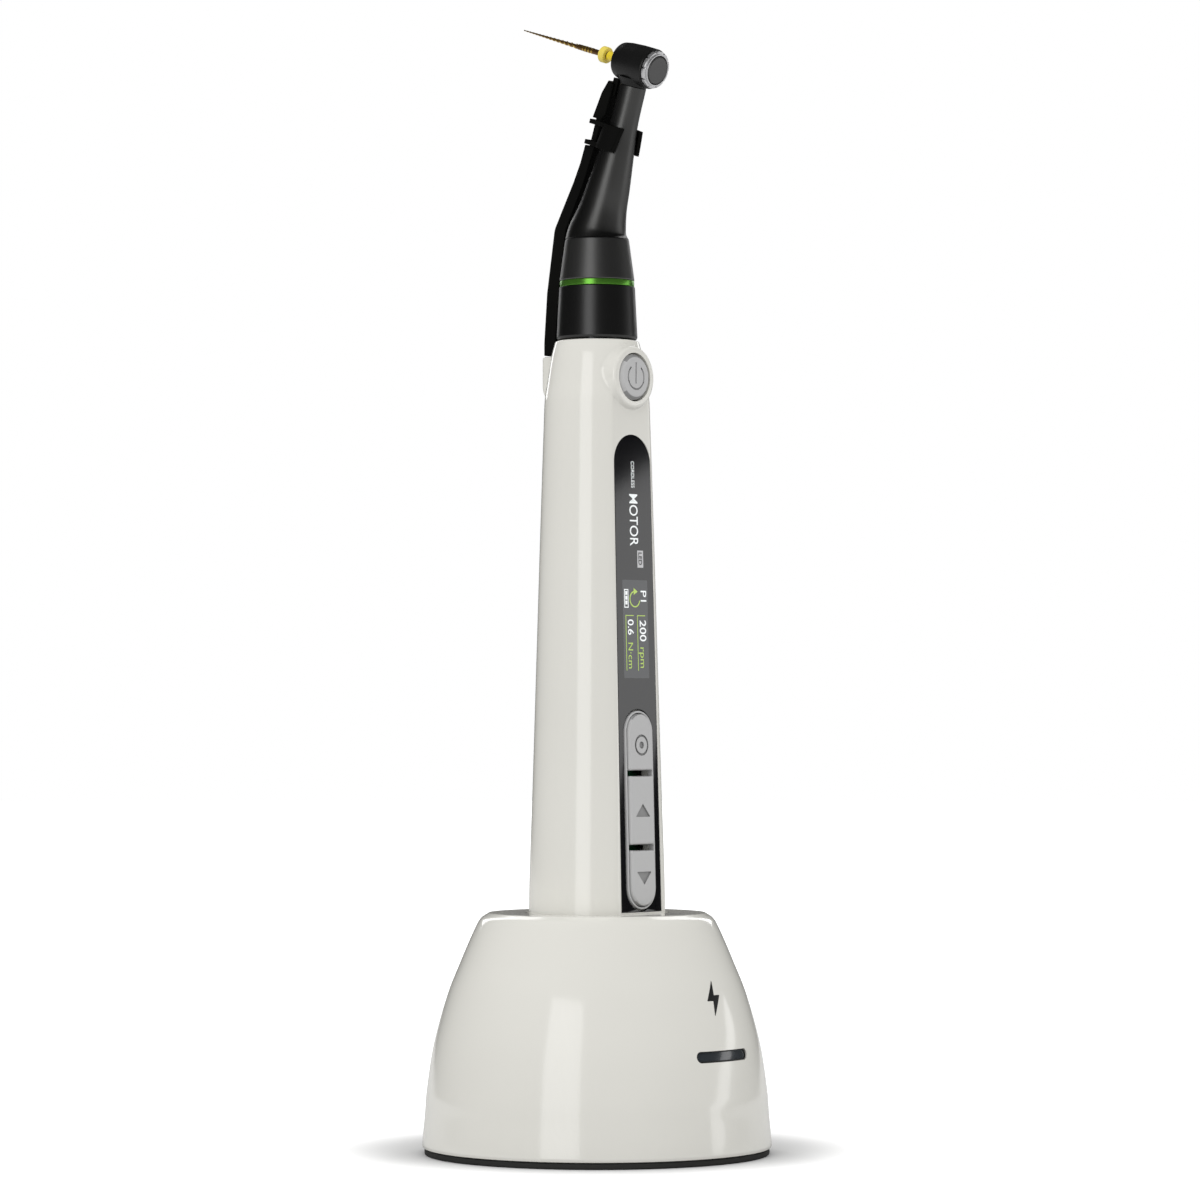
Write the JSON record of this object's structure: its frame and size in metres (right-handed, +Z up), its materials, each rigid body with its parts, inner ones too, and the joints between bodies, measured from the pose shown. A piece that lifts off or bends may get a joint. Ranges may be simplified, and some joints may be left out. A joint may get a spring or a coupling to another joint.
{
  "type": "endodontic motor",
  "caption": "Cordless dental root-canal motor with a contra-angle head, a file and a light guide, standing upright in a dome-shaped charging base.",
  "frame": {"origin": "centre of the base's underside, on the handle's axis", "axes": "+Z up along the handle, -Y to the front where the display and keys are, +X to the right of someone who looks along +Y"},
  "size_m": [0.0696, 0.0696, 0.2267],
  "materials": {
    "shell_white": "gloss",
    "key_grey": "satin",
    "display_black": "gloss",
    "screen_dark": "satin",
    "indicator_smoke": "gloss",
    "sheath_black": "satin",
    "sleeve_black": "gloss",
    "arm_black": "matte",
    "ring_green": "metallic",
    "cap_grey": "satin",
    "bright_steel": "polished",
    "steel": "satin",
    "copper_wire": "satin",
    "ferrite": "matte",
    "circuit_board": "satin",
    "rubber_dark": "matte",
    "file_gold": "polished",
    "stop_yellow": "satin",
    "lens_clear": "gloss",
    "inner_white": "satin",
    "cell_blue": "satin"
  },
  "bodies": {
    "base": {"foot_ring": "rubber_dark", "base_plate": "rubber_dark", "base_shell": "shell_white", "base_screw_1": "steel", "base_screw_2": "steel", "base_screw_3": "steel", "base_screw_4": "steel", "charger_well": "inner_white", "transmit_coil": "copper_wire", "coil_ferrite": "ferrite", "charger_board": "circuit_board", "power_socket": "steel", "ballast_ring": "steel", "indicator_lens": "indicator_smoke", "indicator_board": "circuit_board"},
    "handpiece": {"body_shell": "shell_white", "tail_cap": "shell_white", "receive_coil": "copper_wire", "battery_cell": "cell_blue", "lamp_led": "lens_clear", "display_glass": "display_black", "display_module": "screen_dark", "key_bezel": "key_grey", "main_board": "circuit_board", "set_switch": "steel", "up_switch": "steel", "down_switch": "steel", "power_switch": "steel", "motor_can": "steel", "motor_bearing_rear": "bright_steel", "motor_bearing_front": "bright_steel", "motor_nose": "bright_steel", "nose_seal_1": "rubber_dark", "nose_seal_2": "rubber_dark"},
    "power_button": {"power_button": "key_grey"},
    "set_key": {"set_key": "key_grey"},
    "up_key": {"up_key": "key_grey"},
    "down_key": {"down_key": "key_grey"},
    "rotor": {"motor_rotor": "steel"},
    "contra_angle": {"rear_sleeve": "sleeve_black", "colour_ring": "ring_green", "sheath_cone": "sheath_black", "neck_sheath": "sheath_black", "shaft_bearing": "bright_steel", "light_guide_arm": "arm_black", "light_tip": "lens_clear", "neck_clip": "arm_black", "neck_bearing": "bright_steel", "head_housing": "sheath_black", "head_ring": "bright_steel", "head_bearing_rear": "bright_steel", "head_bearing_front": "bright_steel", "cap_disc_spring": "steel"},
    "drive_shaft": {"drive_shaft": "steel"},
    "neck_shaft": {"neck_shaft": "steel"},
    "spindle": {"spindle": "steel"},
    "push_cap": {"push_cap": "cap_grey"},
    "file": {"file": "file_gold"},
    "file_stop": {"file_stop": "stop_yellow"}
  },
  "joints": [
    {"name": "handpiece_lift", "type": "slide", "parent": "base", "child": "handpiece", "axis": [0, 0, 1], "range_m": [0, 0.06]},
    {"name": "power_press", "type": "slide", "parent": "handpiece", "child": "power_button", "axis": [0, 1, 0], "range_m": [0, 0.0005], "stiffness_N_per_m": 2500},
    {"name": "set_press", "type": "slide", "parent": "handpiece", "child": "set_key", "axis": [0, 0.9996, -0.0272], "range_m": [0, 0.0004], "stiffness_N_per_m": 2500},
    {"name": "up_press", "type": "slide", "parent": "handpiece", "child": "up_key", "axis": [0, 0.9996, -0.0272], "range_m": [0, 0.0004], "stiffness_N_per_m": 2500},
    {"name": "down_press", "type": "slide", "parent": "handpiece", "child": "down_key", "axis": [0, 0.9996, -0.0272], "range_m": [0, 0.0004], "stiffness_N_per_m": 2500},
    {"name": "contra_pull", "type": "slide", "parent": "handpiece", "child": "contra_angle", "axis": [0, 0, 1], "range_m": [0, 0.012]},
    {"name": "rotor_spin", "type": "hinge", "parent": "handpiece", "child": "rotor", "pos_m": [0, 0, 0.15], "axis": [0, 0, 1], "continuous": true},
    {"name": "drive_shaft_spin", "type": "hinge", "parent": "contra_angle", "child": "drive_shaft", "pos_m": [0, 0, 0.175], "axis": [0, 0, 1], "continuous": true},
    {"name": "neck_shaft_spin", "type": "hinge", "parent": "contra_angle", "child": "neck_shaft", "pos_m": [0, 0, 0.18387], "axis": [0, -0.309, 0.9511], "continuous": true},
    {"name": "spindle_spin", "type": "hinge", "parent": "contra_angle", "child": "spindle", "pos_m": [0, -0.01072, 0.21687], "axis": [0, 0.9511, 0.309], "continuous": true},
    {"name": "cap_press", "type": "slide", "parent": "contra_angle", "child": "push_cap", "axis": [0, 0.9511, 0.309], "range_m": [0, 0.00045], "stiffness_N_per_m": 2500},
    {"name": "file_pull", "type": "slide", "parent": "spindle", "child": "file", "axis": [0, 0.9511, 0.309], "range_m": [0, 0.014]},
    {"name": "stop_slide", "type": "slide", "parent": "file", "child": "file_stop", "axis": [0, 0.9511, 0.309], "range_m": [0, 0.012]}
  ],
  "couplings": [
    {"joint": "drive_shaft_spin", "follows": "rotor_spin", "ratio": 1},
    {"joint": "neck_shaft_spin", "follows": "rotor_spin", "ratio": 1},
    {"joint": "spindle_spin", "follows": "rotor_spin", "ratio": 0.72727}
  ]
}
